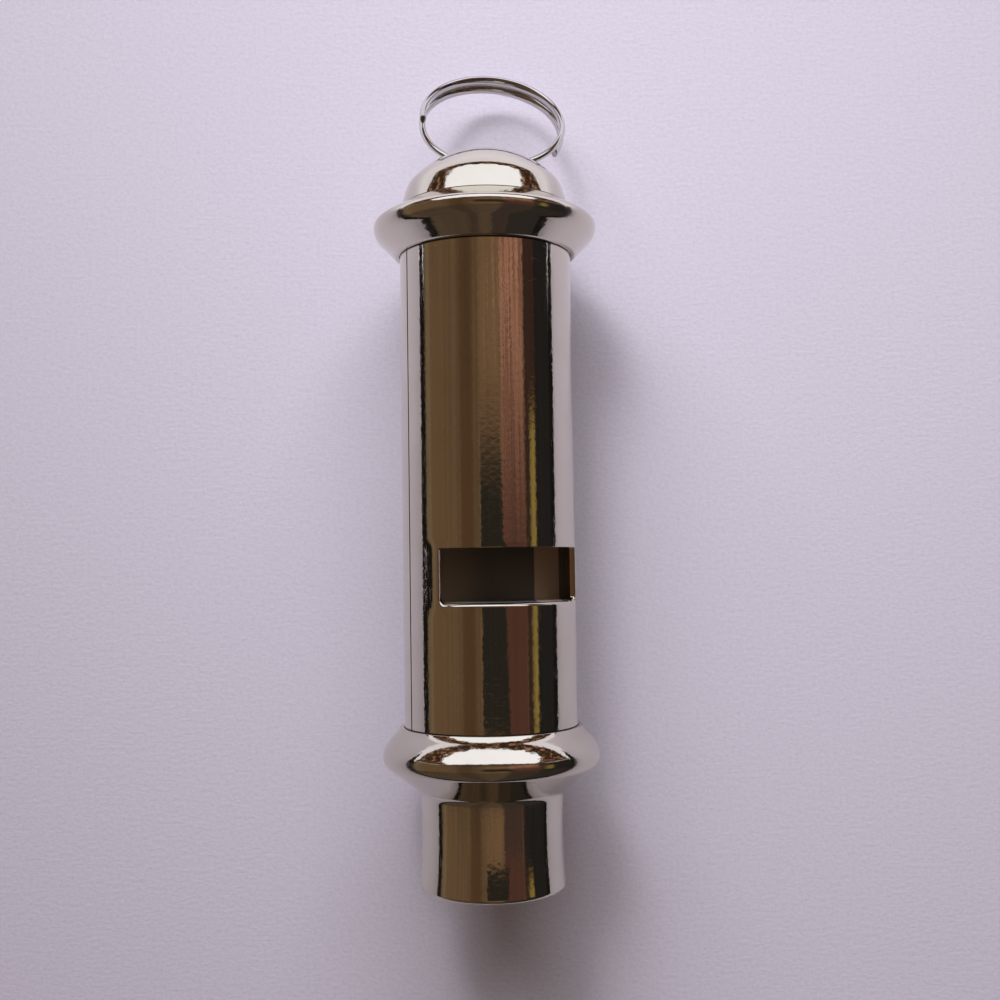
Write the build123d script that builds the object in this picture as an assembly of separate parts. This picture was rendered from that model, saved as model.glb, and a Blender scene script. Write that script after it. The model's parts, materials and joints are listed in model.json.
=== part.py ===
from build123d import *
from math import acos, atan2, cos, hypot, radians, sin, sqrt, tan
import os

# A two-note tube whistle lying on its side, in millimetres. The tube runs along Y, with the mouthpiece at
# the -Y end and the split ring at the +Y end, and Z is up. Lengths along the tube are counted from the
# mouthpiece's rim, and directions round it are degrees from +Z towards +X. The finished whistle is set
# with the middle of its footprint at the origin.

# Tube
tube_diameter = 19.0
tube_wall = 0.6
tube_shown = 51.6  # bare tube between the mouthpiece's lip and the cap's rim

# Sound windows, one in each side of the tube
window_direction = 20.5  # of the front window; the rear one is opposite
window_angle = 107.5
window_length = 5.7
window_from_lip = 13.5  # bare tube between the mouthpiece's lip and the window
window_corner = 0.5
bevel_length = 0.5  # of the lip that the air strikes
bevel_edge = 0.4  # wall left at the lip's edge

# Mouthpiece
mouthpiece_length = 17.4
mouthpiece_socket = 5.2  # depth that the tube goes in
mouthpiece_lip = 0.4  # thickness of the edge round the tube
bead_stand = 2.35  # how far the bead stands out from the tube
bead_from_lip = 3.2  # from the lip to the middle of the bead's round
bead_round = 1.5
bead_lean = 45.0  # degrees that the hollow side above the bead leans where it joins it
mouth_bore = 14.0
flare_wall = 0.95  # wall of the neck at its rim
waist_wall = 0.675  # at its narrowest
root_wall = 0.8  # where it meets the bead
root_to_waist = 4.35
root_to_tube = 1.85  # from the neck's root to the tube's end inside
neck_fillet = 1.1

# Cap
cap_rim = 0.45  # thickness of the edge round the tube
cap_socket = 3.6  # depth from the rim to the shoulder inside
cap_roof = 1.82  # from the shoulder to where the dome meets the flange
flange_stand = 2.85  # how far the flange stands out from the tube
flange_height = 3.2  # from the rim to where the flange is widest
flange_edge = 0.8  # radius of its upper edge
flange_under = 2.0  # radius of its underside
dome_inset = 0.22  # how far the dome's foot lies within the tube's side
dome_taper = 14.0  # degrees that the dome's side leans in
dome_side = 2.1  # length of the leaning side
dome_height = 6.6  # from the foot to the crown
dome_shoulder = 3.0  # radius where the side turns over into the crown
dome_wall = 0.6
ring_hole_spacing = 7.6

# Inside the tube
end_disc_thickness = 0.8
divider_thickness = 0.8
plug_setback = 3.0  # open space between the tube's end and the plugs
windway_gap = 0.95  # height of the slit under the tube's wall
windway_margin = 4.0  # degrees that the slit is narrower than the window, each side
stop_thickness = 1.2
stop_from_end = 9.0  # from the end disc to the pitch stop

# Split ring
ring_diameter = 16.9
ring_wire = 0.75
ring_gap = 0.42  # between its two layers
ring_start = 195.0  # where the upper layer's end is, in degrees round the ring from +X
ring_doubled = 214.0  # stretch with two layers
ring_droop = 36.0  # how far it hangs below the tube's direction
ring_swing = 70.0  # how far it swings up from there
ring_turn = 10.5  # of the line that it swings on, from square to the tube, because its holes are wide
ring_clearance = 0.1  # between the wire and the edges of its holes

# Shared
seat_clearance = 0.02  # between the tube and what it goes into or holds, all round
cutter_margin = 0.5

tube_radius = tube_diameter / 2
bore_radius = tube_radius - tube_wall
inner_radius = bore_radius - seat_clearance
socket_radius = tube_radius + seat_clearance
tube_start = mouthpiece_length - mouthpiece_socket
rim_height = mouthpiece_length + tube_shown
shoulder_height = rim_height + cap_socket
tube_end = shoulder_height - end_disc_thickness
window_start = mouthpiece_length + window_from_lip
window_end = window_start + window_length
plug_start = tube_start + plug_setback
windway_radius = bore_radius - windway_gap
flange_radius = tube_radius + flange_stand

# The dome's side leans in and turns over on one arc into a crown of a larger radius, centred on the axis
taper = radians(dome_taper)
dome_foot = shoulder_height + cap_roof
dome_apex = dome_foot + dome_height
side_end = (tube_radius - dome_inset - dome_side * sin(taper), dome_foot + dome_side * cos(taper))
shoulder_centre = (side_end[0] - dome_shoulder * cos(taper), side_end[1] - dome_shoulder * sin(taper))
crown_rise = dome_apex - shoulder_centre[1]
crown_radius = (shoulder_centre[0] ** 2 + crown_rise**2 - dome_shoulder**2) / (2 * (crown_rise - dome_shoulder))
crown_centre = dome_apex - crown_radius

# The ring's wire crosses the middle of the crown's wall on the line that it swings on
ring_radius = (ring_diameter - ring_wire) / 2
ring_level = (ring_wire + ring_gap) / 2
ring_reach = sqrt(ring_radius**2 - (ring_hole_spacing / 2) ** 2)
ring_pivot = crown_centre + sqrt((crown_radius - dome_wall / 2) ** 2 - (ring_hole_spacing / 2) ** 2)
ring_hub = Pos(0, ring_pivot, 0) * Rot(0, 0, -ring_turn)


def touch(point, centre, radius, side):
    # where the line from a point outside a circle touches it, on the side given by +1 or -1
    radial, along = point[0] - centre[0], point[1] - centre[1]
    turn = atan2(along, radial) + side * acos(radius / sqrt(radial**2 + along**2))
    return centre[0] + radius * cos(turn), centre[1] + radius * sin(turn)


def prism(section, start, end):
    # a cross-section of the tube carried from one height to another
    return Pos(0, end, 0) * extrude(Plane.XZ * section, end - start)


def half_bore():
    # the half of the bore on the front window's side of the divider, as seen along the tube
    across = 2 * bore_radius
    return Circle(inner_radius) - Pos(0, divider_thickness / 2 - bore_radius) * Rectangle(across, across)


def make_mouthpiece():
    bore = mouth_bore / 2
    lip = (socket_radius + mouthpiece_lip, mouthpiece_length)
    bead = (tube_radius + bead_stand - bead_round, mouthpiece_length - bead_from_lip)
    root = (bore + root_wall, tube_start - root_to_tube)
    waist = (bore + waist_wall, root[1] - root_to_waist)
    rim_round = flare_wall / 2
    lean = radians(bead_lean)
    bead_top = (bead[0] + bead_round * cos(lean), bead[1] + bead_round * sin(lean))
    bead_bottom = touch(root, bead, bead_round, 1)
    with BuildPart() as part:
        with BuildSketch():
            with BuildLine():
                Line((socket_radius, mouthpiece_length), lip)
                TangentArc(bead_top, lip, tangent=(-sin(lean), cos(lean)))
                ThreePointArc(bead_top, (bead[0] + bead_round, bead[1]), bead_bottom)
                Line(bead_bottom, root)
                ThreePointArc(root, waist, (bore + flare_wall, rim_round))
                ThreePointArc((bore + flare_wall, rim_round), (bore + rim_round, 0), (bore, rim_round))
                Polyline(
                    (bore, rim_round),
                    (bore, tube_start),
                    (socket_radius, tube_start),
                    (socket_radius, mouthpiece_length),
                )
            outline = make_face()
            fillet(outline.vertices().sort_by_distance(root)[0], neck_fillet)
        revolve(axis=Axis.Y)
    return part.part


def dome_outline(depth, bottom):
    # the dome's outline at a depth below its outer face, from a height on its side to the apex
    start = (side_end[0] - depth * cos(taper), side_end[1] - depth * sin(taper))
    foot = (start[0] + (start[1] - bottom) * tan(taper), bottom)
    reach = crown_radius - depth
    slant = reach / (crown_radius - dome_shoulder)
    turn = (shoulder_centre[0] * slant, crown_centre + (shoulder_centre[1] - crown_centre) * slant)
    Line(foot, start)
    TangentArc(start, turn, tangent=(-sin(taper), cos(taper)))
    TangentArc((0, crown_centre + reach), turn, tangent=(1, 0))
    return foot


def make_cap_blank():
    rim = (socket_radius + cap_rim, rim_height)
    widest = (flange_radius, rim_height + flange_height)
    flange_bottom = touch(rim, (flange_radius - flange_under, widest[1]), flange_under, 1)
    with BuildPart() as turned:
        with BuildSketch():
            with BuildLine():
                Polyline((socket_radius, rim_height), rim, flange_bottom)
                TangentArc(widest, flange_bottom, tangent=(0, -1))
                foot = dome_outline(0, dome_foot)
                flange_top = touch(foot, (flange_radius - flange_edge, widest[1]), flange_edge, -1)
                TangentArc(widest, flange_top, tangent=(0, 1))
                Line(flange_top, foot)
                Line((0, dome_apex), (0, dome_apex - dome_wall))
                inside = dome_outline(dome_wall, shoulder_height)
                Polyline(inside, (socket_radius, shoulder_height), (socket_radius, rim_height))
            make_face()
        revolve(axis=Axis.Y)
    return Rot(0, 90, 0) * turned.part


def ring_hole_radius(blank, ring_ends):
    # the furthest that the wire comes from a hole's middle within the crown's wall, at the ends of its swing
    edges = [edge for ring in ring_ends for edge in (blank & ring).edges()]
    points = [edge.position_at(step / 8) for edge in edges for step in range(9)]
    return max(hypot(abs(point.X) - ring_hole_spacing / 2, point.Z) for point in points) + ring_clearance


def make_top_cap(ring_ends):
    blank = make_cap_blank()
    radius = ring_hole_radius(blank, ring_ends)
    print("ring hole", round(2 * radius, 3))
    hole = prism(Circle(radius), dome_foot, dome_apex)
    return blank - [Pos(side * ring_hole_spacing / 2, 0, 0) * hole for side in (-1, 1)]


def swept_window(profile):
    # a profile of (radius, height) carried round the tube over the front window's angle
    turn = window_direction - 90 - window_angle / 2
    face = make_face(Polyline(*profile, close=True))
    return Rot(0, turn, 0) * revolve(face, Axis.Y, window_angle)


def make_body_tube():
    wall_inside = bore_radius - cutter_margin
    wall_outside = tube_radius + cutter_margin
    opening = swept_window(
        [
            (wall_inside, window_start),
            (wall_outside, window_start),
            (wall_outside, window_end),
            (wall_inside, window_end),
        ]
    )
    corners = opening.edges().filter_by(GeomType.LINE).group_by(Axis.Y)
    across = [edge for edge in corners[0] if abs(edge.tangent_at(0).Y) < 0.5]
    opening = fillet(across, window_corner)
    bevel = swept_window(
        [
            (bore_radius + bevel_edge, window_end),
            (wall_outside, window_end),
            (wall_outside, window_end + bevel_length),
            (tube_radius, window_end + bevel_length),
        ]
    )
    tube = prism(Circle(tube_radius) - Circle(bore_radius), tube_start, tube_end)
    front = opening + bevel
    return tube - front - Rot(0, 180, 0) * front


def make_end_disc():
    return prism(Circle(tube_radius), tube_end, shoulder_height)


def make_divider_plate():
    section = Circle(inner_radius) & Rectangle(2 * bore_radius, divider_thickness)
    return Rot(0, window_direction, 0) * prism(section, plug_start, tube_end)


def make_windway_plug(direction):
    half = radians(window_angle / 2 - windway_margin)
    reach = 2 * bore_radius
    corner = (reach * sin(half), reach * cos(half))
    wedge = make_face(Polyline((0, 0), corner, (-corner[0], corner[1]), close=True))
    slit = wedge - Circle(windway_radius)
    return Rot(0, direction, 0) * prism(half_bore() - slit, plug_start, window_start)


def make_pitch_stop():
    end = tube_end - stop_from_end
    return Rot(0, window_direction + 180, 0) * prism(half_bore(), end - stop_thickness, end)


def biarc(start, start_way, end, end_way):
    # two arcs from one point and direction to another, meeting smoothly
    span = end - start
    both = start_way + end_way
    bend = 2 * (1 - start_way.dot(end_way))
    reach = (sqrt(span.dot(both) ** 2 + bend * span.dot(span)) - span.dot(both)) / bend
    start_corner = start + start_way * reach
    end_corner = end - end_way * reach
    middle = (start_corner + end_corner) / 2
    middle_way = (end_corner - start_corner).normalized()
    return [
        Edge.make_tangent_arc(start, start_way, middle),
        Edge.make_tangent_arc(middle, middle_way, end),
    ]


def ring_path():
    # the wire's middle line, clockwise from the upper layer's end, with the ring lying flat and the line
    # through the cap's two holes along X
    def at(turn, height):
        angle = radians(turn)
        return Vector(ring_radius * cos(angle), ring_reach + ring_radius * sin(angle), height)

    def way(turn):
        return Vector(sin(radians(turn)), -cos(radians(turn)), 0)

    def layer(turn, height):
        quarter = ring_doubled / 4
        stops = [at(turn - quarter * step, height) for step in range(5)]
        return [Edge.make_three_point_arc(*stops[0:3]), Edge.make_three_point_arc(*stops[2:5])]

    climb_start = ring_start - ring_doubled
    climb_end = ring_start - 360
    top_end = at(climb_start, ring_level)
    bottom_start = at(climb_end, -ring_level)
    climb = biarc(top_end, way(climb_start), bottom_start, way(climb_end))
    return Wire(layer(ring_start, ring_level) + climb + layer(climb_end, -ring_level))


def least_gap(path):
    # least distance between the surfaces of the wire's two layers
    count = 400
    apart = int(count * 180 / (360 + ring_doubled))
    points = [path.position_at(step / count) for step in range(count + 1)]
    pairs = [(a, b) for a in range(count + 1) for b in range(a + apart, count + 1)]
    return min((points[a] - points[b]).length for a, b in pairs) - ring_wire


def make_split_ring(swing):
    # hung from the two holes by the stretch where its wire changes layers, and swung up from there
    path = ring_path()
    wire = sweep(Plane(path @ 0, z_dir=path % 0) * Circle(ring_wire / 2), path)
    return ring_hub * Rot(swing - ring_droop, 0, 0) * wire


hanging_ring = make_split_ring(0)
pieces = {
    "body_tube": make_body_tube(),
    "mouthpiece": make_mouthpiece(),
    "top_cap": make_top_cap([hanging_ring, make_split_ring(ring_swing)]),
    "end_disc": make_end_disc(),
    "divider_plate": make_divider_plate(),
    "front_windway_plug": make_windway_plug(window_direction),
    "rear_windway_plug": make_windway_plug(window_direction + 180),
    "pitch_stop": make_pitch_stop(),
    "split_ring": hanging_ring,
}
print("ring pivot height", round(ring_pivot, 4), "least gap between layers", round(least_gap(ring_path()), 3))

whole_length = pieces["split_ring"].bounding_box().max.Y
place = Pos(0, -whole_length / 2, flange_radius)
print("rim at y", round(-whole_length / 2, 4), "axis at z", round(flange_radius, 4))

os.makedirs("parts", exist_ok=True)
for name, piece in pieces.items():
    export_step(place * piece, f"parts/{name}.step")
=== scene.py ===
import json
import bpy
from math import acos, atan2, cos, degrees, pi, radians, sin, sqrt, tan
from mathutils import Matrix, Vector
from mathutils.geometry import delaunay_2d_cdt


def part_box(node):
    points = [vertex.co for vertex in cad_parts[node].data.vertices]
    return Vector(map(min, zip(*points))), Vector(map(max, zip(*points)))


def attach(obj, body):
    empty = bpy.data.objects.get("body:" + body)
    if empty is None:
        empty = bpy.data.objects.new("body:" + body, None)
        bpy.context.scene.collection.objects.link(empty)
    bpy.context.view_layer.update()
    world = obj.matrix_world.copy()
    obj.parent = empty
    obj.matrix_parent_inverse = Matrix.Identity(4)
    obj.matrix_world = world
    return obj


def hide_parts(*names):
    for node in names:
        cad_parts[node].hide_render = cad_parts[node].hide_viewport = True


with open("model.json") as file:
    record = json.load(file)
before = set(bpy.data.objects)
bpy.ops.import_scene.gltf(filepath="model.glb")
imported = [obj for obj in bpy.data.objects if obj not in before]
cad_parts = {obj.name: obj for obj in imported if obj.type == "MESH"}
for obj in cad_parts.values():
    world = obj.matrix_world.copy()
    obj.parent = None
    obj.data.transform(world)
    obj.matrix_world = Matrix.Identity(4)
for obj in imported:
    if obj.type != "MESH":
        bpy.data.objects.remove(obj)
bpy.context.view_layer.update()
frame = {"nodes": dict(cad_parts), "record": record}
mm = 0.001

# the whistle is laid out in millimetres: x to the side, along the tube from the mouthpiece's rim, and z up
# from the tube's middle line; turns round the tube are degrees from straight up towards +X
tubeLow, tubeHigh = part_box("body_tube")
mouthLow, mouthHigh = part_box("mouthpiece")
capLow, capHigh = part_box("top_cap")
rimPlace = mouthLow.y
axisHeight = (tubeLow.z + tubeHigh.z) / 2
tubeRadius = (tubeHigh.x - tubeLow.x) / 2 / mm
print("frame loaded, tube", round(2 * tubeRadius, 2), "mm across")


def alongOf(place):
    return (place - rimPlace) / mm


def smooth(value, low, high):
    t = min(max((value - low) / (high - low), 0), 1)
    return t * t * (3 - 2 * t)


def mixed(a, b, t):
    return a + (b - a) * t


def spread(low, high, steps):  # evenly from low, up to but without high
    return [mixed(low, high, i / steps) for i in range(steps)]


def offTurn(turn, middle):  # degrees from one turn to another, the short way round
    return (turn - middle + 180) % 360 - 180


class Skin:  # points with their own outward normals, and the faces between them

    def __init__(self):
        self.points = []
        self.normals = []
        self.faces = []

    def add(self, point, normal):
        self.points.append(point)
        self.normals.append(normal.normalized())
        return len(self.points) - 1

    def loft(self, rows):  # faces between closed rows of points
        for first, second in zip(rows, rows[1:]):
            for i in range(len(first)):
                j = (i + 1) % len(first)
                self.faces.append((first[i], first[j], second[j], second[i]))

    def outward(self, face):  # the same face, turned to the side of its normals
        a, b, c = (self.points[face[i]] for i in (0, 1, -1))
        facing = sum((self.normals[i] for i in face), Vector())
        return face if (b - a).cross(c - a).dot(facing) > 0 else face[::-1]

    def piece(self, name, material, body, node):
        shift = Vector((0, rimPlace, axisHeight))
        mesh = bpy.data.meshes.new(name)
        mesh.from_pydata([p * mm + shift for p in self.points], [], [self.outward(f) for f in self.faces])
        mesh.shade_smooth()
        mesh.normals_split_custom_set_from_vertices(self.normals)
        mesh.materials.append(material)
        made = bpy.data.objects.new(name, mesh)
        bpy.context.collection.objects.link(made)
        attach(made, body)
        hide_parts(node)
        print(name, len(self.faces), "faces")


# outlines are drawn as (radius, along) with the way that the line runs, so that edges get true normals

smoothJoin = 0.9985  # cosine between two ways that run on without a corner
easeSteps = 6


def heading(point, centre):
    return atan2(point.y - centre.y, point.x - centre.x)


def touch(point, centre, radius, side):  # where a line from the point touches the circle
    turn = heading(point, centre) + side * acos(radius / (point - centre).length)
    return centre + Vector((cos(turn), sin(turn))) * radius


def run(start, end):
    way = (Vector(end) - Vector(start)).normalized()
    return [(Vector(start), way), (Vector(end), way)]


def bow(centre, radius, first, last, steps=24):  # an arc between two directions from its centre, in radians
    side = 1 if last > first else -1
    line = []
    for i in range(steps + 1):
        turn = mixed(first, last, i / steps)
        spoke = Vector((cos(turn), sin(turn)))
        line.append((Vector(centre) + spoke * radius, Vector((-spoke.y, spoke.x)) * side))
    return line


def bowThrough(a, b, c, steps):  # an arc from a over b to c
    d = 2 * (a - c).cross(b - c)
    aa = (a - c).length_squared
    bb = (b - c).length_squared
    centre = c + Vector((aa * (b - c).y - bb * (a - c).y, bb * (a - c).x - aa * (b - c).x)) / d
    first = heading(a, centre)
    sweep = (a - centre).angle_signed(c - centre)
    return bow(centre, (a - centre).length, first, first - sweep, steps)


def bend(start, corner, end, steps):  # a curve that rounds a corner off
    line = []
    for i in range(steps + 1):
        t = i / steps
        spot = start * (1 - t) ** 2 + corner * 2 * t * (1 - t) + end * t * t
        line.append((spot, mixed(corner - start, end - corner, t).normalized()))
    return line


def eased(parts, ease, closed=True):  # joins the parts, with a small rounded edge at each corner
    line = list(parts[0])
    loop = parts[1:] + ([parts[0]] if closed else [])
    for part in loop:
        (end, endWay), (start, startWay) = line[-1], part[0]
        corner = endWay.dot(startWay) < smoothJoin
        if corner:
            line[-1:] = bend(end - endWay * ease, end, start + startWay * ease, easeSteps)
        if not closed or part is not loop[-1]:
            line += part[1:]
        elif corner:
            line[0] = line.pop()
    return line


def lathe(skin, line, count, closed=True):  # turns an outline round the tube's middle line
    rows = []
    for spot, way in line:
        row = []
        for turn in spread(0, 2 * pi, count):
            out = Vector((sin(turn), 0, cos(turn)))
            point = out * spot.x + Vector((0, spot.y, 0))
            row.append(skin.add(point, out * -way.y + Vector((0, way.x, 0))))
        rows.append(row)
    skin.loft(rows + rows[:1] if closed else rows)
    return rows


# shader maths: a socket with arithmetic that adds Math nodes

class Sock:

    def __init__(self, socket):
        self.socket = socket
        self.tree = socket.id_data

    def node(self, kind, settings=None, sockets=None, out=0):
        made = self.tree.nodes.new("ShaderNode" + kind)
        for name, value in (settings or {}).items():
            setattr(made, name, value)
        for key, value in (sockets or {}).items():
            feed(made.inputs[key], value)
        return Sock(made.outputs[out])

    def math(self, operation, *others):
        return self.node("Math", {"operation": operation}, dict(enumerate((self,) + others)))

    def __add__(self, other):
        return self.math("ADD", other)

    def __mul__(self, other):
        return self.math("MULTIPLY", other)

    def __sub__(self, other):
        return self.math("SUBTRACT", other)

    def __rsub__(self, other):
        return self.math("MULTIPLY_ADD", -1, other)

    def __truediv__(self, other):
        return self.math("DIVIDE", other)

    __radd__ = __add__
    __rmul__ = __mul__


def feed(socket, value):
    if isinstance(value, Sock):
        socket.id_data.links.new(value.socket, socket)
    else:
        socket.default_value = value


def split(coords):
    return [coords.node("SeparateXYZ", {}, {0: coords}, i) for i in range(3)]


def rise(value, low, high):
    return value.node(
        "MapRange", {"interpolation_type": "SMOOTHSTEP"}, {"Value": value, "From Min": low, "From Max": high}
    )


def strip(value, low, high, soft):
    return rise(value, low - soft, low + soft) * (1 - rise(value, high - soft, high + soft))


def tint(base, colour, mask):
    return mask.node("Mix", {"data_type": "RGBA"}, {0: mask, 6: base, 7: colour}, 2)


def rgb(r, g, b):
    return (r, g, b, 1)


def noise(coords, scale, detail, rough=0.5):
    sockets = {"Vector": coords, "Scale": scale, "Detail": detail, "Roughness": rough}
    return coords.node("TexNoise", {}, sockets)


def stretch(coords, x, y, z):
    return coords.node("VectorMath", {"operation": "MULTIPLY"}, {0: coords, 1: (x, y, z)})


def bump(shader, height, strength, depth):  # depth in mm
    sockets = {"Strength": strength, "Distance": depth * mm, "Height": height}
    feed(shader.inputs["Normal"], height.node("Bump", {}, sockets))


def newMaterial(name):
    made = bpy.data.materials.new(name)
    made.use_nodes = True
    shader = made.node_tree.nodes["Principled BSDF"]
    start = Sock(shader.outputs[0])
    coords = start.node("TexCoord", out="Object")
    return made, shader, stretch(coords, 1 / mm, 1 / mm, 1 / mm)


# polished nickel: faint lumps from polishing, smudges, hair scratches, painted shade in the creases and dirt
# along the seam

nickelSet = {
    "colour": rgb(0.64, 0.60, 0.52),
    "wearAndPaintedLight": rgb(0.58, 0.53, 0.44),
    "wornShare": 0.4,
    # colour of the painted shade in the creases, and of the dirt along the seam
    "shadeAndDirt": rgb(0.050, 0.038, 0.024),
    "creaseCore": 0.4,  # share of a crease's reach that is fully darkened with painted shade
    "seamDirt": (0.45, 0.95),  # degrees from the seam's middle
    "bare": rgb(0.95, 0.72, 0.64),  # without plate
    "bareSoft": 0.1,  # mm
    "clouds": {"scale": 0.22, "detail": 4},
    "cloudLimits": (0.42, 0.72),
    "hairs": {"scale": 1.3, "detail": 2},
    "hairStretch": (9, 0.35, 9),
    "hairLimits": (0.62, 0.72),
    "swirls": {"scale": 1.1, "detail": 2},
    "swirlStretch": (0.6, 11, 0.6),
    "swirlLimits": (0.64, 0.74),
    "lumps": {"scale": 1.9, "detail": 2, "rough": 0.4},
    "lumpHeight": 0.0075,  # mm
    "scratchDepth": 0.0007,  # mm
    "roughness": 0.035,
    "smudge": 0.05,  # more roughness in the clouds
    "hairRough": 0.04,
    "shadeAndDirtRough": 0.3,
    "rub": 0.09,  # more roughness along a rubbed edge
    "rubSoft": 0.3,  # mm
}
wireSet = {**nickelSet, "colour": rgb(0.60, 0.59, 0.58), "lumpHeight": 0.002, "roughness": 0.06}


def polishedNickel(name, s, creases=(), seam=None, inside=None, rubbed=None):
    made, shader, coords = newMaterial(name)
    x, y, z = split(coords)
    z = z - axisHeight / mm
    along = y - rimPlace / mm
    cloud = rise(noise(coords, **s["clouds"]), *s["cloudLimits"])
    hairs = rise(noise(stretch(coords, *s["hairStretch"]), **s["hairs"]), *s["hairLimits"])
    swirls = rise(noise(stretch(coords, *s["swirlStretch"]), **s["swirls"]), *s["swirlLimits"])
    colour = tint(s["colour"], s["wearAndPaintedLight"], cloud * s["wornShare"])
    shadeAndDirt = cloud * 0  # none, until a crease adds painted shade or the seam adds dirt
    # painted shade in the creases where the pieces meet
    for place, reach in creases:
        gap = (along - place).math("ABSOLUTE")
        shadeAndDirt = shadeAndDirt.math("MAXIMUM", 1 - rise(gap, reach * s["creaseCore"], reach))
    if seam is not None:
        off = (x.math("ARCTAN2", z).math("DEGREES") - seam).math("ABSOLUTE")
        shadeAndDirt = shadeAndDirt.math("MAXIMUM", 1 - rise(off, *s["seamDirt"]))
    if inside is not None:  # the bore isn't plated
        radius = (x * x + z * z).math("SQRT")
        colour = tint(colour, s["bare"], 1 - rise(radius, inside, inside + s["bareSoft"]))
    feed(shader.inputs["Base Color"], tint(colour, s["shadeAndDirt"], shadeAndDirt))
    rough = s["roughness"] + cloud * s["smudge"] + hairs * s["hairRough"] + shadeAndDirt * s["shadeAndDirtRough"]
    if rubbed is not None:
        rough = rough + strip(along, *rubbed, s["rubSoft"]) * s["rub"]
    feed(shader.inputs["Roughness"], rough)
    shader.inputs["Metallic"].default_value = 1
    height = noise(coords, **s["lumps"]) * s["lumpHeight"] + (hairs + swirls) * -s["scratchDepth"]
    bump(shader, height, 1, 1)
    return made


# satin brass of the pieces inside: tarnished and darkened with painted shade, with a painted lit stripe
# across and painted light towards the far side

brassSet = {
    # the colour of the painted lit stripe
    "colour": rgb(0.72, 0.60, 0.47),
    "wearAndPaintedLight": (5.0, 7.8, 0.05),  # mm across: from, to and softness of a painted lit stripe
    # tarnished brass, darkened further with painted shade for the little light that gets inside
    "tarnishAndShade": rgb(0.178, 0.18, 0.165),
    "edge": rgb(0.37, 0.33, 0.25),  # painted light: lighter towards the far side
    "edgeLimits": (-5, 0.5),  # mm across
    "grain": {"scale": 1.5, "detail": 2},
    "grainStretch": (7, 0.7, 7),
    "grainBump": (0.6, 0.01),  # strength, mm
    "grainRough": 0.1,
    "roughness": 0.5,
    "metallic": 0.5,
}


def satinBrass(name, s):
    made, shader, coords = newMaterial(name)
    across = split(coords)[0]
    # the plate's tone: tarnish with painted shade, lightened towards the far side with painted light
    plain = tint(s["edge"], s["tarnishAndShade"], rise(across, *s["edgeLimits"]))
    grain = noise(stretch(coords, *s["grainStretch"]), **s["grain"])
    # a painted lit stripe across the plate
    feed(shader.inputs["Base Color"], tint(plain, s["colour"], strip(across, *s["wearAndPaintedLight"])))
    feed(shader.inputs["Roughness"], s["roughness"] + grain * s["grainRough"])
    shader.inputs["Metallic"].default_value = s["metallic"]
    bump(shader, grain, *s["grainBump"])
    return made


# mouthpiece: a lip round the tube, a bead for the lips to rest on and a waisted neck

mouthSet = {
    "socketRadius": tubeRadius + 0.02,
    "socketDepth": 5.2,
    "lipEdge": 0.4,
    "beadFromLip": 3.2,
    "beadRound": 2.1,
    "underRound": 1.5,
    "flankLeans": (28, 47),  # degrees, where the bead's round ends and at the steepest place
    "flankBreak": 0.68,  # share of the side that is round, the rest is hollow
    "bore": 7.0,
    "flareWall": 0.95,
    "waistWall": 0.675,
    "rootWall": 0.8,
    "rootToTube": 1.85,
    "rootToWaist": 4.35,
    "neckFillet": 1.1,
    "edge": 0.07,
    "steps": 288,
    "rubbed": (-0.7, 0.6),  # mm along, from the bead's middle
}


def makeMouthpiece(material):
    s = mouthSet
    length = alongOf(mouthHigh.y)
    beadRadius = (mouthHigh.x - mouthLow.x) / 2 / mm
    tubeStart = length - s["socketDepth"]
    lip = Vector((s["socketRadius"] + s["lipEdge"], length))
    bead = Vector((beadRadius - s["underRound"], length - s["beadFromLip"]))

    # the bead's side: round at first, then hollow up to the lip
    crest = Vector((beadRadius - s["beadRound"], bead.y))
    lean, steep = (radians(turn) for turn in s["flankLeans"])
    flank = crest + Vector((cos(lean), sin(lean))) * s["beadRound"]
    flankBreak = mixed(flank, lip, s["flankBreak"])
    outward = Vector((cos(steep), sin(steep)))
    full = (flank - flankBreak).length_squared / 2 / (flankBreak - flank).dot(outward)
    hollow = (lip - flankBreak).length_squared / 2 / (lip - flankBreak).dot(outward)
    fullCentre, hollowCentre = flankBreak - outward * full, flankBreak + outward * hollow

    # the neck, with a fillet at its root
    root = Vector((s["bore"] + s["rootWall"], tubeStart - s["rootToTube"]))
    waist = Vector((s["bore"] + s["waistWall"], root.y - s["rootToWaist"]))
    rimRound = s["flareWall"] / 2
    flare = Vector((s["bore"] + s["flareWall"], rimRound))
    beadBottom = touch(root, bead, s["underRound"], 1)
    slope = (root - beadBottom).normalized()
    neck = bowThrough(root, waist, flare, steps=40)
    reach = s["neckFillet"] * tan(slope.angle(neck[0][1]) / 2)
    filletEnd = min(range(len(neck)), key=lambda i: abs((neck[i][0] - root).length - reach))
    filletStart = root - slope * (neck[filletEnd][0] - root).length
    parts = [
        run((s["socketRadius"], length), lip),
        bow(hollowCentre, hollow, heading(lip, hollowCentre) % (2 * pi), pi + steep),
        bow(fullCentre, full, steep, heading(flank, fullCentre)),
        bow(crest, s["beadRound"], lean, 0, steps=20),
        bow(bead, s["underRound"], 0, heading(beadBottom, bead)),
        run(beadBottom, filletStart),
        bend(filletStart, root, neck[filletEnd][0], steps=12),
        neck[filletEnd:],
        bow((s["bore"] + rimRound, rimRound), rimRound, 0, -pi, steps=16),
        run((s["bore"], rimRound), (s["bore"], tubeStart)),
        run((s["bore"], tubeStart), (s["socketRadius"], tubeStart)),
        run((s["socketRadius"], tubeStart), (s["socketRadius"], length)),
    ]
    skin = Skin()
    lathe(skin, eased(parts, s["edge"]), s["steps"])
    skin.piece("mouthpieceShell", material, "whistle", "mouthpiece")


# cap: a rim round the tube, a flange and a dome with two holes for the ring

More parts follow.
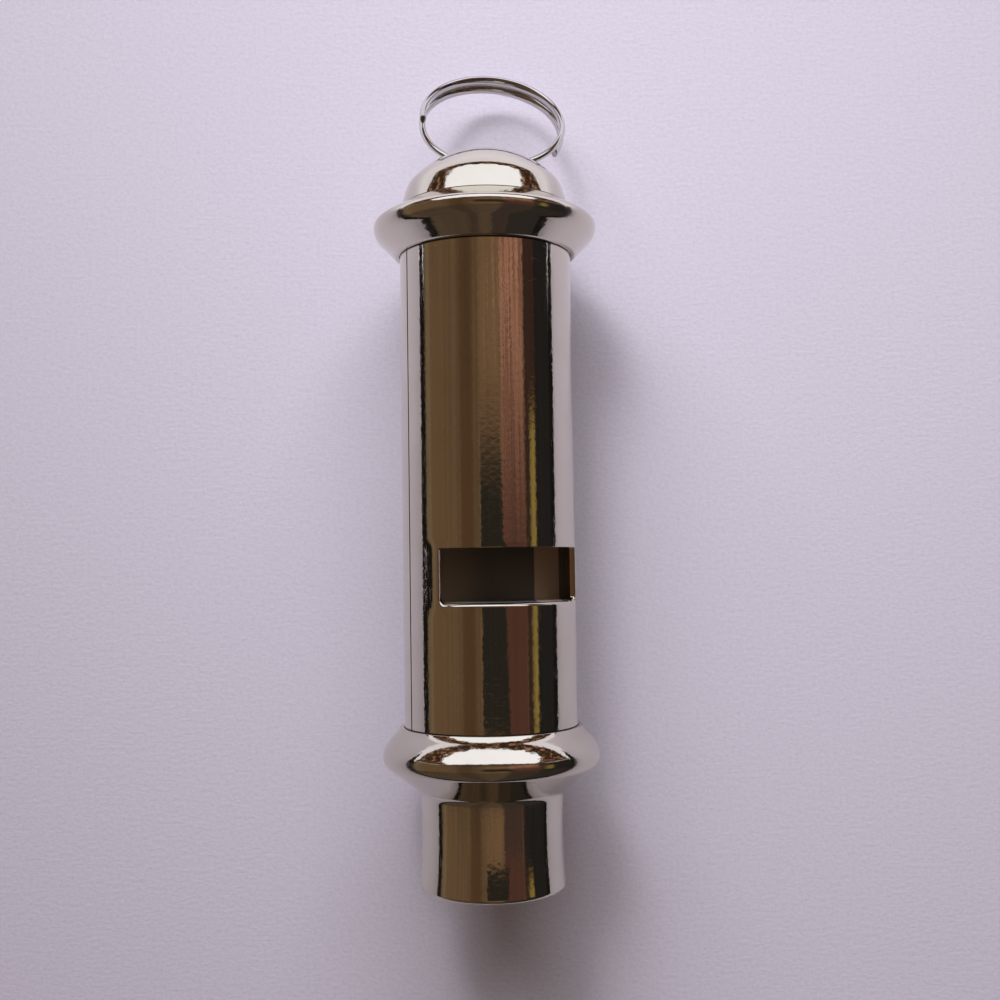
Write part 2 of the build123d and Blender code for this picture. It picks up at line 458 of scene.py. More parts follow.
capSet = {
    "socketRadius": tubeRadius + 0.02,
    "socketDepth": 3.6,
    "rim": 0.45,
    "rimRound": 0.22,
    "rimFullness": 0.29,  # how far the round's middle lies inside the rim's corner, as a share
    "flangeHeight": 3.2,
    "flangeEdge": 0.8,
    "flangeUnder": 2.0,
    "roof": 1.82,
    "domeFoot": tubeRadius - 0.22,
    "lean": 14,  # of the dome's side, which is bowed a little
    "bow": 5,
    "side": 2.1,
    "shoulder": 3.0,
    "wall": 0.6,
    "holeSpacing": 7.6,
    "holeRadius": 2.354,
    "holeEdge": 0.12,
    "holeInside": 0.05,  # where the hole's wall turns into the inner face
    "holeSteps": 72,
    "patch": 7.0,  # radius of the crown that the holes are cut in
    "patchStep": 0.4,
    "edge": 0.06,
    "steps": 288,
    "valleyShade": 0.07,  # reach of the painted shade at the dome's foot
    "rubbed": (-1, 0.1),  # mm along, from the flange's edge
}


def makeCap(material):
    s = capSet
    rimAlong = alongOf(capLow.y)
    apex = alongOf(capHigh.y)
    shoulderAlong = rimAlong + s["socketDepth"]
    flangeRadius = (capHigh.x - capLow.x) / 2 / mm

    # the dome: a bowed side, a shoulder and a crown
    lean, bowed = radians(s["lean"]), radians(s["bow"])
    foot = Vector((s["domeFoot"], shoulderAlong + s["roof"]))
    sideEnd = foot + Vector((-sin(lean), cos(lean))) * s["side"]
    sideRadius = s["side"] / 2 / sin(bowed)
    sideCentre = foot - Vector((cos(lean - bowed), sin(lean - bowed))) * sideRadius
    lean += bowed
    turnOver = sideEnd - Vector((cos(lean), sin(lean))) * s["shoulder"]
    riseUp = apex - turnOver.y
    crown = (turnOver.x**2 + riseUp**2 - s["shoulder"] ** 2) / (2 * (riseUp - s["shoulder"]))
    middle = Vector((0, apex - crown))
    crownTurn = heading(turnOver, middle)

    # the flange and the rounded rim below it
    rim = Vector((s["socketRadius"] + s["rim"], rimAlong))
    upper = Vector((flangeRadius - s["flangeEdge"], rimAlong + s["flangeHeight"]))
    under = Vector((flangeRadius - s["flangeUnder"], upper.y))
    flangeTop = touch(foot, upper, s["flangeEdge"], -1)
    flangeBottom = touch(rim, under, s["flangeUnder"], 1)
    slope = (rim - flangeBottom).normalized()
    rimStart, rimEnd = rim - slope * s["rimRound"], rim - Vector((s["rimRound"], 0))
    rimTurn = rim - (slope + Vector((1, 0))) * s["rimRound"] * s["rimFullness"]

    # the hollow inside
    inner = s["wall"]
    insideStart = sideEnd - Vector((cos(lean), sin(lean))) * inner
    insideLength = (insideStart.y - shoulderAlong) / cos(lean)
    insideFoot = insideStart + Vector((sin(lean), -cos(lean))) * insideLength

    def patchTurn(depth):
        return acos(s["patch"] / (crown - depth))

    parts = [
        bow(middle, crown, patchTurn(0), crownTurn, steps=8),
        bow(turnOver, s["shoulder"], crownTurn, lean, steps=36),
        bow(sideCentre, sideRadius, lean, lean - 2 * bowed, steps=18),
        run(foot, flangeTop),
        bow(upper, s["flangeEdge"], heading(flangeTop, upper), 0),
        bow(under, s["flangeUnder"], 0, heading(flangeBottom, under)),
        run(flangeBottom, rimStart),
        bowThrough(rimStart, rimTurn, rimEnd, steps=12),
        run(rimEnd, (s["socketRadius"], rimAlong)),
        run((s["socketRadius"], rimAlong), (s["socketRadius"], shoulderAlong)),
        run((s["socketRadius"], shoulderAlong), insideFoot),
        run(insideFoot, insideStart),
        bow(turnOver, s["shoulder"] - inner, lean, crownTurn, steps=18),
        bow(middle, crown - inner, crownTurn, patchTurn(inner), steps=8),
    ]
    skin = Skin()
    rows = lathe(skin, eased(parts, s["edge"], closed=False), s["steps"], closed=False)

    # the crown is meshed flat, with the holes left out, and then bent onto the dome
    holes = [Vector((side * s["holeSpacing"] / 2, 0)) for side in (-1, 1)]
    around = s["holeSteps"]

    def loop(hole, radius):
        return [hole + Vector((cos(t), sin(t))) * radius for t in spread(0, 2 * pi, around)]

    edge = [Vector((p.x, p.z)) for p in (skin.points[i] for i in rows[0])]
    opened = s["holeRadius"] + s["holeEdge"]
    flat = edge + loop(holes[0], opened) + loop(holes[1], opened)
    count = len(edge)
    fences = [(i, (i + 1) % count) for i in range(count)]
    for start in (count, count + around):
        fences += [(start + i, start + (i + 1) % around) for i in range(around)]
    step = s["patchStep"]
    reach = int(s["patch"] / step) + 1
    for row in range(-reach, reach + 1):
        for col in range(-reach, reach + 1):
            spot = Vector(((col + row % 2 / 2) * step, row * step * sqrt(3) / 2))
            clear = all((spot - hole).length > opened + step / 2 for hole in holes)
            if clear and spot.length < s["patch"] - step / 2:
                flat.append(spot)
    flatSpots, _, triangles, _, _, _ = delaunay_2d_cdt(flat, fences, [], 0, 1e-6)
    kept = []
    for triangle in triangles:
        centre = sum((flatSpots[i] for i in triangle), Vector((0, 0))) / 3
        if all((centre - hole).length > opened for hole in holes):
            kept.append(triangle)

    def dome(spot, depth):
        return Vector((spot.x, middle.y + sqrt((crown - depth) ** 2 - spot.length_squared), spot.y))

    def face(edgeRow, depth, facing):
        ids = list(edgeRow)
        for spot in flatSpots[count:]:
            point = dome(spot, depth)
            ids.append(skin.add(point, (point - Vector((0, middle.y, 0))) * facing))
        skin.faces += [tuple(ids[i] for i in triangle) for triangle in kept]
        return [ids[count : count + around], ids[count + around : count + 2 * around]]

    def holeRow(hole, wider, depth, turn):
        ids = []
        for spot in loop(hole, s["holeRadius"]):
            spoke = (spot - hole).normalized()
            normal = Vector((-spoke.x * sin(turn), cos(turn), -spoke.y * sin(turn)))
            ids.append(skin.add(dome(spot + spoke * wider, depth), normal))
        return ids

    outside = face(rows[0], 0, 1)
    inside = face(rows[-1], inner, -1)
    for hole, top, bottom in zip(holes, outside, inside):
        holeRows = [top]
        for level in (15, 30, 45, 60, 75, 90):  # degrees round the hole's edge
            turn = radians(level)
            wider, depth = s["holeEdge"] * (1 - sin(turn)), s["holeEdge"] * (1 - cos(turn))
            holeRows.append(holeRow(hole, wider, depth, turn))
        holeRows.append(holeRow(hole, 0, inner - s["holeInside"], pi / 2))
        skin.loft(holeRows + [bottom])
    skin.piece("capShell", material, "whistle", "top_cap")


# tube: rolled sheet with a fine seam along it, and a window each side whose cut edges are rolled over

tubeSet = {
    "wall": 0.6,
    "windowTurn": 20.5,
    "windowAngle": 107.5,
    "windowStart": 30.9,
    "windowLength": 5.7,
    "lowCorner": 0.5,
    "highCorner": 0.12,
    "bevelLength": 0.5,
    "bevelEdge": 0.58,
    "lowRoll": 0.42,  # how far each cut edge is rolled over
    "sideRoll": 0.14,
    "highRoll": 0.08,
    "innerRoll": 0.06,
    "spring": 0.14,  # how far the sheet springs out beside the window
    "springReach": 2.2,
    "springStart": 1,  # from so far inside the window's side
    "springLow": (-1.6, 0.6),  # grows along the tube, from the window's start
    "springHigh": (-0.3, 1.3),  # ends along the tube, from the window's end
    "seamTurn": -62.8,
    "seamHalf": 0.8,  # degrees
    "seamDepth": 0.06,
    "sideMargin": 12,  # degrees of sheet that is meshed with the window
    "endMargin": 2.5,
    "acrossSteps": 132,
    "alongSteps": 40,
    "plainSteps": 48,
    "seamSteps": (30, 10, 16),  # up to the seam, across it and past it
    "lowSteps": 6,
    "highSteps": 12,
    "fadeSteps": 14,  # from the mesh's margin to the window, closer towards it
    "fadeEase": 1.8,
    "rollSteps": 7,
    "wallSteps": 4,
    "innerSteps": 4,
    "innerFade": (0.15, 0.4, 0.7),
    "jointShade": 0.13,  # reach of the painted shade where the tube enters the ends
    "plated": 0.7,  # share of the wall's thickness
}


def tubeRadiusAt(turn, along):
    s = tubeSet
    start = s["windowStart"]
    end = start + s["windowLength"]
    radius = tubeRadius
    offSeam = abs(offTurn(turn, s["seamTurn"])) / s["seamHalf"]
    if offSeam < 1:
        radius -= s["seamDepth"] * (1 - offSeam**2) ** 2
    grown = smooth(along - start, *s["springLow"]) * (1 - smooth(along - end, *s["springHigh"]))
    for middle in (s["windowTurn"], s["windowTurn"] + 180):
        beside = radians(abs(offTurn(turn, middle)) - s["windowAngle"] / 2) * tubeRadius
        near = smooth(beside, -s["springStart"], 0) * (1 - smooth(beside, 0, s["springReach"]))
        radius += s["spring"] * grown * near
    return radius


def tubePoint(turn, along, depth=0):
    radius = tubeRadiusAt(turn, along) - depth
    return Vector((sin(radians(turn)) * radius, along, cos(radians(turn)) * radius))


def tubeNormal(turn, along):
    step = 0.02
    across = tubePoint(turn + step, along) - tubePoint(turn - step, along)
    length = tubePoint(turn, along + step) - tubePoint(turn, along - step)
    return length.cross(across).normalized()


def windowLoop():  # round the window from its low left corner: place, way out, roll and share of high side
    s = tubeSet
    half = radians(s["windowAngle"] / 2) * tubeRadius
    low = s["windowStart"]
    high = low + s["windowLength"]
    corners = [
        (Vector((-half, low)), s["lowCorner"], Vector((1, 1))),
        (Vector((half, low)), s["lowCorner"], Vector((-1, 1))),
        (Vector((half, high)), s["highCorner"], Vector((-1, -1))),
        (Vector((-half, high)), s["highCorner"], Vector((1, -1))),
    ]
    loop = []
    for side in range(4):
        (cornerA, roundA, inA), (cornerB, roundB, inB) = corners[side], corners[(side + 1) % 4]
        centreA, centreB = cornerA + inA * roundA, cornerB + inB * roundB
        square = radians(270 + 90 * side)
        facing = Vector((cos(square), sin(square)))
        along = Vector((-facing.y, facing.x))
        arcA, straight, arcB = roundA * pi / 4, (centreB - centreA).dot(along), roundB * pi / 4
        steps = s["acrossSteps"] if side % 2 == 0 else s["alongSteps"]
        for reach in spread(0, arcA + straight + arcB, steps):
            if reach < arcA:
                turn = square - (arcA - reach) / roundA
                out = Vector((cos(turn), sin(turn)))
                spot = centreA + out * roundA
            elif reach < arcA + straight:
                out = facing
                spot = centreA + out * roundA + along * (reach - arcA)
            else:
                turn = square + (reach - arcA - straight) / roundB
                out = Vector((cos(turn), sin(turn)))
                spot = centreB + out * roundB
            lowSide, highSide = max(0, -out.y) ** 2, max(0, out.y) ** 2
            roll = s["sideRoll"] + (s["lowRoll"] - s["sideRoll"]) * lowSide
            roll += (s["highRoll"] - s["sideRoll"]) * highSide
            loop.append((spot, out, roll, highSide))
    return loop


def windowLayers(border, loop):  # over the sheet, round the cut edge and back inside, as (flat place, depth)
    s = tubeSet
    inside = s["wall"] - s["innerRoll"]

    def bevelled(place, depth, top):
        reach = s["bevelLength"] * max(0, 1 - depth / (s["wall"] - s["bevelEdge"]))
        return place + Vector((0, reach * top)), depth

    layers = []
    outerRim = [bevelled(spot + out * roll, 0, top)[0] for spot, out, roll, top in loop]
    for i in range(1, s["fadeSteps"] + 1):
        t = 1 - (1 - i / s["fadeSteps"]) ** s["fadeEase"]
        layers.append([(mixed(b, edge, t), 0) for b, edge in zip(border, outerRim)])
    outerCount = len(layers)
    for i in range(1, s["rollSteps"] + 1):
        turn = radians(90 * i / s["rollSteps"])
        layer = []
        for spot, out, roll, top in loop:
            layer.append(bevelled(spot + out * roll * (1 - sin(turn)), roll * (1 - cos(turn)), top))
        layers.append(layer)
    for i in range(1, s["wallSteps"] + 1):
        t = i / s["wallSteps"]
        layers.append([bevelled(spot, mixed(roll, inside, t), top) for spot, _, roll, top in loop])
    for i in range(1, s["innerSteps"] + 1):
        turn = radians(90 * i / s["innerSteps"])
        wider, depth = s["innerRoll"] * (1 - cos(turn)), s["wall"] - s["innerRoll"] * (1 - sin(turn))
        layers.append([(spot + out * wider, depth) for spot, out, _, _ in loop])
    innerStart = len(layers) - 1
    innerRim = [spot + out * s["innerRoll"] for spot, out, _, _ in loop]
    for t in s["innerFade"]:
        layers.append([(mixed(edge, b, t), s["wall"]) for edge, b in zip(innerRim, border)])
    return layers, outerCount, innerStart


def makeTube(material):
    s = tubeSet
    start, end = alongOf(tubeLow.y), alongOf(tubeHigh.y)
    lowEdge = s["windowStart"] - s["endMargin"]
    highEdge = s["windowStart"] + s["windowLength"] + s["endMargin"] + s["bevelLength"]
    reach = s["windowAngle"] / 2 + s["sideMargin"]
    front, rear = s["windowTurn"], s["windowTurn"] + 180
    nWide, nTall = s["acrossSteps"], s["alongSteps"]

    # turns of the columns: across the front window, the plain side, across the rear window, the seam's side
    columns = spread(front - reach, front + reach, nWide)
    columns += spread(front + reach, rear - reach, s["plainSteps"])
    spans = {0: front, len(columns): rear}  # first column of each window's patch
    columns += spread(rear - reach, rear + reach, nWide)
    seam = s["seamTurn"] + 360
    stops = (rear + reach, seam - s["seamHalf"], seam + s["seamHalf"], front + 360 - reach)
    for low, high, steps in zip(stops, stops[1:], s["seamSteps"]):
        columns += spread(low, high, steps)
    count = len(columns)

    rows = spread(start, lowEdge, s["lowSteps"]) + spread(lowEdge, highEdge, nTall)
    rows += spread(highEdge, end, s["highSteps"]) + [end]
    lowIndex, highIndex = s["lowSteps"], s["lowSteps"] + nTall
    skin = Skin()

    def sheetFace(depth, facing):
        ids = {}
        for r, along in enumerate(rows):
            for c, turn in enumerate(columns):
                inPatch = any(first < c < first + nWide for first in spans)
                if lowIndex < r < highIndex and inPatch:
                    continue
                ids[r, c] = skin.add(tubePoint(turn, along, depth), tubeNormal(turn, along) * facing)
        for r in range(len(rows) - 1):
            for c in range(count):
                d = (c + 1) % count
                inPatch = any(first <= c < first + nWide for first in spans)
                if lowIndex <= r < highIndex and inPatch:
                    continue
                skin.faces.append((ids[r, c], ids[r, d], ids[r + 1, d], ids[r + 1, c]))
        return ids

    def patchEdge(ids, first):  # the patch's border in the order of the window's loop
        last = first + nWide
        border = [ids[lowIndex, first + i] for i in range(nWide)]
        border += [ids[lowIndex + i, last % count] for i in range(nTall)]
        border += [ids[highIndex, (last - i) % count] for i in range(nWide)]
        border += [ids[highIndex - i, first] for i in range(nTall)]
        return border

    outer = sheetFace(0, 1)
    inner = sheetFace(s["wall"], -1)
    for r in (0, len(rows) - 1):
        skin.loft([[ids[r, c] for c in range(count)] for ids in (outer, inner)])

    for first, middle in spans.items():
        outerEdge, innerEdge = patchEdge(outer, first), patchEdge(inner, first)
        border = []  # on the unrolled sheet, from the window's middle
        for p in (skin.points[i] for i in outerEdge):
            turn = offTurn(degrees(atan2(p.x, p.z)), middle)
            border.append(Vector((radians(turn) * tubeRadius, p.y)))
        layers, outerCount, innerStart = windowLayers(border, windowLoop())
        turns = [[middle + degrees(place.x / tubeRadius) for place, _ in layer] for layer in layers]
        points = []
        for layer, turnRow in zip(layers, turns):
            points.append([tubePoint(turn, place.y, depth) for turn, (place, depth) in zip(turnRow, layer)])
        loops = [outerEdge]
        for k, layer in enumerate(layers):
            ids = []
            for i, (place, _) in enumerate(layer):
                if outerCount <= k < innerStart:
                    alongLoop = points[k][(i + 1) % len(layer)] - points[k][i - 1]
                    acrossLoop = points[k + 1][i] - points[k - 1][i]
                    normal = acrossLoop.cross(alongLoop)
                else:
                    normal = tubeNormal(turns[k][i], place.y) * (1 if k < outerCount else -1)
                ids.append(skin.add(points[k][i], normal))
            loops.append(ids)
        skin.loft(loops + [innerEdge])
    skin.piece("tubeSheet", material, "whistle", "body_tube")


# split ring: hard drawn wire wound in two layers that change over where it hangs in the cap's holes

ringSet = {
    "diameter": 16.9,
    "wire": 0.75,
    "gap": 0.42,
    "start": 195,  # degrees, where the upper end lies
    "doubled": 214,  # degrees that both layers cover
    "droop": 36,
    "flat": 0.55,  # half the height of the wire where its layers lie on each other
    "flatEase": (14, 8),  # degrees before and after the layers part
    "endRound": 0.12,
    "endSteps": 6,
    "roundSteps": 32,
    "degreesPerStep": 1.5,
}


def makeRing(material):
    s = ringSet
    joint = frame["record"]["behaviour"]["joints"][0]
    hub = Vector(joint["pos_m"])
    hub = Vector((hub.x / mm, alongOf(hub.y), (hub.z - axisHeight) / mm))
    turned = atan2(joint["axis"][1], joint["axis"][0])
    place = Matrix.Rotation(turned, 3, "Z") @ Matrix.Rotation(radians(-s["droop"]), 3, "X")
    wire = s["wire"] / 2
    radius = s["diameter"] / 2 - wire
    level = wire + s["gap"] / 2
    reach = sqrt(radius**2 - (capSet["holeSpacing"] / 2) ** 2)
    whole = 360 + s["doubled"]
    before, after = s["flatEase"]

    def middleLine(t):  # t is degrees along the wire from the upper end
        turn = radians(s["start"] - t)
        change = min(max((t - s["doubled"]) / (360 - s["doubled"]), 0), 1)
        return Vector((radius * cos(turn), reach + radius * sin(turn), level * cos(pi * change)))

    # places along the wire with its radius there and how far it faces the end, rounded over at the cut ends
    endTurn = degrees(s["endRound"] / radius)
    count = int((whole - 2 * endTurn) / s["degreesPerStep"])
    over = [radians(90 * i / s["endSteps"]) for i in range(s["endSteps"] + 1)]
    stops = [(endTurn * (1 - cos(a)), wire - s["endRound"] * (1 - sin(a)), cos(a)) for a in over]
    stops += [(t, wire, 0) for t in spread(endTurn, whole - endTurn, count)[1:]]
    stops += [(whole - endTurn * (1 - sin(a)), wire - s["endRound"] * (1 - cos(a)), -sin(a)) for a in over]
    skin = Skin()
    rows = []
    step = 0.05
    for t, thick, lean in stops:
        spot = middleLine(t)
        way = (middleLine(t + step) - middleLine(t - step)).normalized()
        turn = radians(s["start"] - t)
        up = Vector((cos(turn), sin(turn), 0)).cross(way).normalized()
        out = way.cross(up)
        parted = smooth(t, s["doubled"] - before, s["doubled"] + after)
        single = parted * (1 - smooth(t, 360 - after, 360 + before))
        tall = mixed(s["flat"] / wire, 1, single)
        row = []
        for a in spread(0, 2 * pi, s["roundSteps"]):
            spoke = out * cos(a) + up * sin(a) * tall
            facing = out * cos(a) + up * sin(a) / tall
            normal = facing.normalized() * sqrt(1 - lean**2) - way * lean
            row.append(skin.add(place @ (spot + spoke * thick) + hub, place @ normal))
        rows.append(row)
    skin.loft(rows)
    skin.faces += [tuple(rows[0]), tuple(rows[-1])]
    skin.piece("ringWire", material, "ring", "split_ring")


# finishes: painted shade where the pieces meet, rubbed edges, and no plate in the tube's bore

lipAlong, capAlong = alongOf(mouthHigh.y), alongOf(capLow.y)
beadAlong = lipAlong - mouthSet["beadFromLip"]
flangeAlong = capAlong + capSet["flangeHeight"]
valley = capAlong + capSet["socketDepth"] + capSet["roof"]
nickelTube = polishedNickel(
    "nickel tube",
    nickelSet,
    creases=[(along, tubeSet["jointShade"]) for along in (lipAlong, capAlong)],
    seam=tubeSet["seamTurn"],
    inside=tubeRadius - tubeSet["wall"] * tubeSet["plated"],
)
nickelMouth = polishedNickel(
    "nickel mouthpiece", nickelSet, rubbed=[beadAlong + off for off in mouthSet["rubbed"]]
)
nickelCap = polishedNickel(
    "nickel cap",
    nickelSet,
    creases=[(valley, capSet["valleyShade"])],
    rubbed=[flangeAlong + off for off in capSet["rubbed"]],
)
springWire = polishedNickel("spring wire", wireSet)
brass = satinBrass("satin brass", brassSet)
makeMouthpiece(nickelMouth)
makeCap(nickelCap)
makeTube(nickelTube)
makeRing(springWire)
for name in ("end_disc", "divider_plate", "front_windway_plug", "rear_windway_plug", "pitch_stop"):
    for holder in frame["nodes"][name].material_slots:
        holder.material = brass
print("pieces made")


# the room that polished metal shows: bands that run along the tube, from the left wall over to the right
# one, and daylight ahead above ragged brown clutter; across is (from, to, softness) with turns as on the
# tube, and along is degrees of lean from straight up towards the ring

roomSet = {
    "pale": rgb(0.74, 0.71, 0.79),  # as the eye sees it
    "soft": (rgb(0.080, 0.050, 0.026), rgb(0.225, 0.215, 0.21)),  # light on the paper, from behind and ahead
    "softLimits": (-0.05, 0.7),
    "ceiling": rgb(0.169, 0.103, 0.056),
    "far": rgb(0.044, 0.037, 0.031),
    "bands": {
        "left floor line": ((-120, -89, 1.5), rgb(0.012, 0.010, 0.009)),
        "left wall": ((-88, -80, 2), rgb(0.202, 0.145, 0.089)),
        "beam": ((-36, -18, 3), rgb(0.107, 0.058, 0.029)),
        "lamp": ((-9, 19, 3), rgb(0.207, 0.121, 0.065)),
        "right corner": ((50, 120, 1.5), rgb(0.050, 0.024, 0.018)),
        "right wall": ((66, 120, 1), rgb(0.020, 0.017, 0.017)),
    },
    "curtain": {
        "across": (18, 49, 1.5),
        "near": rgb(0.48, 0.235, 0.155),  # near the daylight, and far from it
        "far": rgb(0.109, 0.047, 0.034),
        "nearing": (-2, 16),
        "streaks": (0.45, 0.62),
        "streakShare": 0.7,
        "end": (-13, -8),
        "endShare": 0.6,
    },
    "glints": {
        "across": (-8, 16, 3),
        "colour": rgb(0.42, 0.25, 0.13),
        "streaks": (0.52, 0.66),
        "start": (8, 13),
        "share": 0.6,
    },
    "picture": {"across": (57, 65, 1.5), "along": (-8.3, 7, 1), "colour": rgb(0.30, 0.215, 0.06)},
    "overhead": {  # a dark shape straight above, wider ahead on its right
        "across": (-10, 20, 1),
        "colour": rgb(0.026, 0.023, 0.018),
        "start": (-10, -8),
        "end": (3, 9),
        "widen": (0, 8),
        "widening": 0.6,
    },
    "nearWall": {"across": (53, 90, 1.5), "end": (-10, -8)},  # the right wall comes closer behind
    "shade": {"limits": (0.42, 0.75), "share": 0.45},  # in the folds
    "ends": {"along": (15, 21), "share": 0.6},  # darker towards both ends of the room
    "streaks": {"scale": 1.2, "detail": 2},
    "streakStretch": (30, 1, 30),
    "folds": {"scale": 1.1, "detail": 4, "rough": 0.65},
    "foldStretch": (9, 0.6, 9),
    "ragged": {"scale": 9, "detail": 4, "rough": 0.6},
    "ahead": (0.29, 0.37),
    "daylight": {
        "side": 80,  # degrees to each side and up
        "up": 57,
        "edge": (0.96, 1.04),
        "ragged": 0.07,
        "colour": rgb(1.36, 1.38, 1.53),
    },
    "clutter": {
        "low": 15,  # degrees high ahead
        "more": 25,  # and so much higher at this bearing
        "bearing": 62,
        "steepness": 5,
        "ragged": 18.2,
        "soft": 1.5,
        "specks": {"scale": 14, "detail": 4, "rough": 0.6},
        "speckLimits": (0.5, 0.68),
        "colour": rgb(0.050, 0.025, 0.014),
        "glow": rgb(0.60, 0.32, 0.20),
    },
}


def roomBands(way, turn, lean):  # what stands to the sides, above and behind
    s = roomSet
    streaks = noise(stretch(way, *s["streakStretch"]), **s["streaks"])
    folds = noise(stretch(way, *s["foldStretch"]), **s["folds"])
    room = s["ceiling"]
    for across, colour in s["bands"].values():
        room = tint(room, colour, strip(turn, *across))

    p = s["curtain"]
    curtain = tint(p["far"], p["near"], rise(lean, *p["nearing"]))
    curtain = tint(curtain, p["far"], rise(streaks, *p["streaks"]) * p["streakShare"])
    curtain = tint(curtain, s["far"], (1 - rise(lean, *p["end"])) * p["endShare"])
    room = tint(room, curtain, strip(turn, *p["across"]))

    p = s["glints"]
    glints = strip(turn, *p["across"]) * rise(streaks, *p["streaks"]) * rise(lean, *p["start"])
    room = tint(room, p["colour"], glints * p["share"])

    p = s["picture"]
    room = tint(room, p["colour"], strip(turn, *p["across"]) * strip(lean, *p["along"]))

    p = s["overhead"]
    widened = turn + lean * rise(turn, *p["widen"]) * p["widening"]
    length = rise(lean, *p["start"]) * (1 - rise(lean, *p["end"]))
    room = tint(room, p["colour"], strip(widened, *p["across"]) * length)

    p = s["nearWall"]
    wall = s["bands"]["right wall"][1]
    room = tint(room, wall, strip(turn, *p["across"]) * (1 - rise(lean, *p["end"])))

    room = tint(room, s["far"], rise(folds, *s["shade"]["limits"]) * s["shade"]["share"])
    return tint(room, s["far"], rise(lean.math("ABSOLUTE"), *s["ends"]["along"]) * s["ends"]["share"])


def roomAhead(room, way, x, y, z):  # daylight with the clutter below it
    s = roomSet
    bearing = x.math("ARCTAN2", y).math("DEGREES")
    height = z.math("ARCSINE").math("DEGREES")
    ragged = noise(way, **s["ragged"]) - 0.5
    ahead = rise(y, *s["ahead"])

    p = s["daylight"]
    across, up = bearing / p["side"], height / p["up"]
    oval = across * across + up * up + ragged * p["ragged"]
    room = tint(room, p["colour"], (1 - rise(oval, *p["edge"])) * ahead)

    p = s["clutter"]
    clutter = tint(p["colour"], p["glow"], rise(noise(way, **p["specks"]), *p["speckLimits"]))
    aside = (bearing / p["bearing"]).math("ABSOLUTE").math("POWER", p["steepness"])
    top = aside * p["more"] + p["low"] + ragged * p["ragged"]
    return tint(room, clutter, (1 - rise(height - top, -p["soft"], p["soft"])) * ahead)


def makeWorld():
    s = roomSet
    world = bpy.data.worlds.new("room")
    bpy.context.scene.world = world
    world.use_nodes = True
    backing = world.node_tree.nodes["Background"]
    start = Sock(backing.outputs[0])
    way = start.node("TexCoord", out="Generated")
    x, y, z = split(way)
    turn = x.math("ARCTAN2", z).math("DEGREES")
    lean = y.math("ARCSINE").math("DEGREES")
    room = roomAhead(roomBands(way, turn, lean), way, x, y, z)
    eye = start.node("LightPath", out="Is Camera Ray")
    glossy = start.node("LightPath", out="Is Glossy Ray")
    soft = tint(*s["soft"], rise(y, *s["softLimits"]))
    feed(backing.inputs["Color"], tint(tint(soft, room, glossy), s["pale"], eye))


# floor: pale paper that fades into the pale room; reflections see a painted glow on it ahead, and the dark
# table past its near edges

floorSet = {
    "size": 6,  # m
    "colour": rgb(0.76, 0.72, 0.82),
    "fleck": rgb(0.70, 0.66, 0.76),
    "fleckLimits": (0.35, 0.75),
    "grain": {"scale": 2.2, "detail": 4, "rough": 0.65},
    "grainShare": 0.6,
    "cloth": {"scale": 0.9, "detail": 3},
    "clothStretch": (1, 2.5, 1),
    "clothShare": 0.4,
    "bump": (0.6, 0.1),  # strength, mm
    "roughness": 0.9,
    "specular": 0.1,
    "table": rgb(0.012, 0.010, 0.009),
    # colour of the painted glow that reflections see on the paper ahead
    "lit": rgb(1.0, 0.96, 1.08),
    "litLimits": (40, 72),  # mm ahead
    "sheetSide": 139,
    "sheetFront": 170,
    "sheetSoft": 3,
    "sheetOpens": 85,  # mm ahead, where the sheet's sides run apart
    "sheetOpening": 5,
    "fade": (95, 340),  # mm from the whistle, where the eye sees the floor turn into the pale room
}


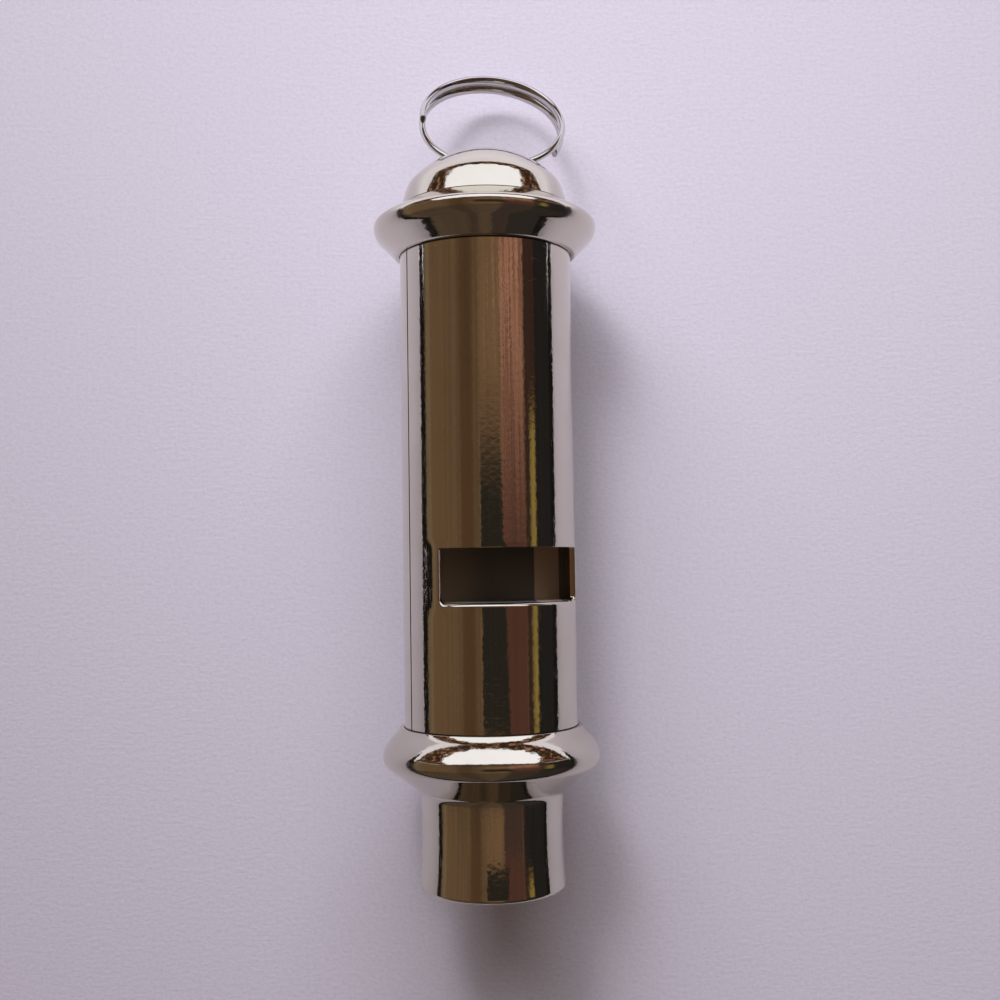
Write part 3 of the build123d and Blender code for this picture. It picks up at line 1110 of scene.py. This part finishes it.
def makeFloor():
    s = floorSet
    half = s["size"] / 2
    mesh = bpy.data.meshes.new("paper")
    corners = [(-half, -half, 0), (half, -half, 0), (half, half, 0), (-half, half, 0)]
    mesh.from_pydata(corners, [], [(0, 1, 2, 3)])
    made, shader, coords = newMaterial("paper")
    grain = noise(coords, **s["grain"])
    cloth = noise(stretch(coords, *s["clothStretch"]), **s["cloth"])
    feed(shader.inputs["Base Color"], tint(s["colour"], s["fleck"], rise(grain, *s["fleckLimits"])))
    shader.inputs["Roughness"].default_value = s["roughness"]
    shader.inputs["Specular IOR Level"].default_value = s["specular"]
    bump(shader, grain * s["grainShare"] + cloth * s["clothShare"], *s["bump"])

    # reflections
    x, y, _ = split(coords)
    side = x.math("ABSOLUTE") - (y - s["sheetOpens"]).math("MAXIMUM", 0) * s["sheetOpening"]
    between = 1 - rise(side, s["sheetSide"], s["sheetSide"] + s["sheetSoft"])
    onSheet = between * rise(y, -s["sheetFront"] - s["sheetSoft"], -s["sheetFront"])
    glossy = coords.node("LightPath", out="Is Glossy Ray")
    shown = (1 - onSheet).math("MAXIMUM", rise(y, *s["litLimits"]))
    # what reflections see: the dark table off the sheet, and a painted glow on the sheet ahead
    table = coords.node("Emission", {}, {"Color": tint(s["table"], s["lit"], onSheet)})
    paper = coords.node("MixShader", {}, {0: glossy * shown, 1: Sock(shader.outputs[0]), 2: table})

    # the distance
    eye = coords.node("LightPath", out="Is Camera Ray")
    away = rise((x * x + y * y).math("SQRT"), *s["fade"])
    distance = coords.node("Emission", {}, {"Color": roomSet["pale"]})
    surface = coords.node("MixShader", {}, {0: eye * away, 1: paper, 2: distance})
    feed(made.node_tree.nodes["Material Output"].inputs["Surface"], surface)
    mesh.materials.append(made)
    floor = bpy.data.objects.new("paper", mesh)
    bpy.context.collection.objects.link(floor)


lampSet = {
    "window": {
        "kind": "AREA",
        "from": (-0.10, 0.78, 0.62),
        "away": 0.46,
        "aim": (0.004, 0.02, 0),
        "watts": 2.45,
        "colour": (0.98, 0.965, 1.035),
        "more": {"shape": "RECTANGLE", "size": 0.59, "size_y": 0.28},
    },
    "pool": {
        "kind": "SPOT",
        "from": (-0.30, 0.66, 0.69),
        "away": 0.36,
        "aim": (0.034, 0.003, 0),
        "watts": 1.65,
        "colour": (0.98, 0.955, 1.035),
        "more": {"shadow_soft_size": 0.05, "spot_size": radians(38), "spot_blend": 1},
    },
}


def makeLamps():
    for name, s in lampSet.items():
        lamp = bpy.data.lights.new(name, s["kind"])
        lamp.energy = s["watts"]
        lamp.color = s["colour"]
        for key, value in s["more"].items():
            setattr(lamp, key, value)
        made = bpy.data.objects.new(name, lamp)
        way = Vector(s["from"]).normalized()
        made.location = Vector(s["aim"]) + way * s["away"]
        made.rotation_euler = (-way).to_track_quat("-Z", "Y").to_euler()
        made.visible_glossy = False
        bpy.context.collection.objects.link(made)


cameraSet = {
    "lens": 43.81,
    "sensor": 36,
    "nearest": 0.01,  # m
    "over": 34.9,  # mm along the whistle
    "above": 134.39,  # mm above its middle line
    "tilt": (3.01, -0.55, -0.80),
}


def makeCamera():
    s = cameraSet
    lens = bpy.data.cameras.new("camera")
    lens.lens = s["lens"]
    lens.sensor_width = s["sensor"]
    lens.clip_start = s["nearest"]
    made = bpy.data.objects.new("camera", lens)
    bpy.context.collection.objects.link(made)
    x, y, z = (Matrix.Rotation(radians(turn), 3, axis) for turn, axis in zip(s["tilt"], "XYZ"))
    place = Vector((0, rimPlace + s["over"] * mm, axisHeight + s["above"] * mm))
    made.matrix_world = Matrix.Translation(place) @ (x @ y @ z).to_4x4()
    bpy.context.scene.camera = made


makeFloor()
makeWorld()
makeLamps()
makeCamera()
bpy.context.scene.view_settings.view_transform = "Standard"
print("stage, light and camera made")
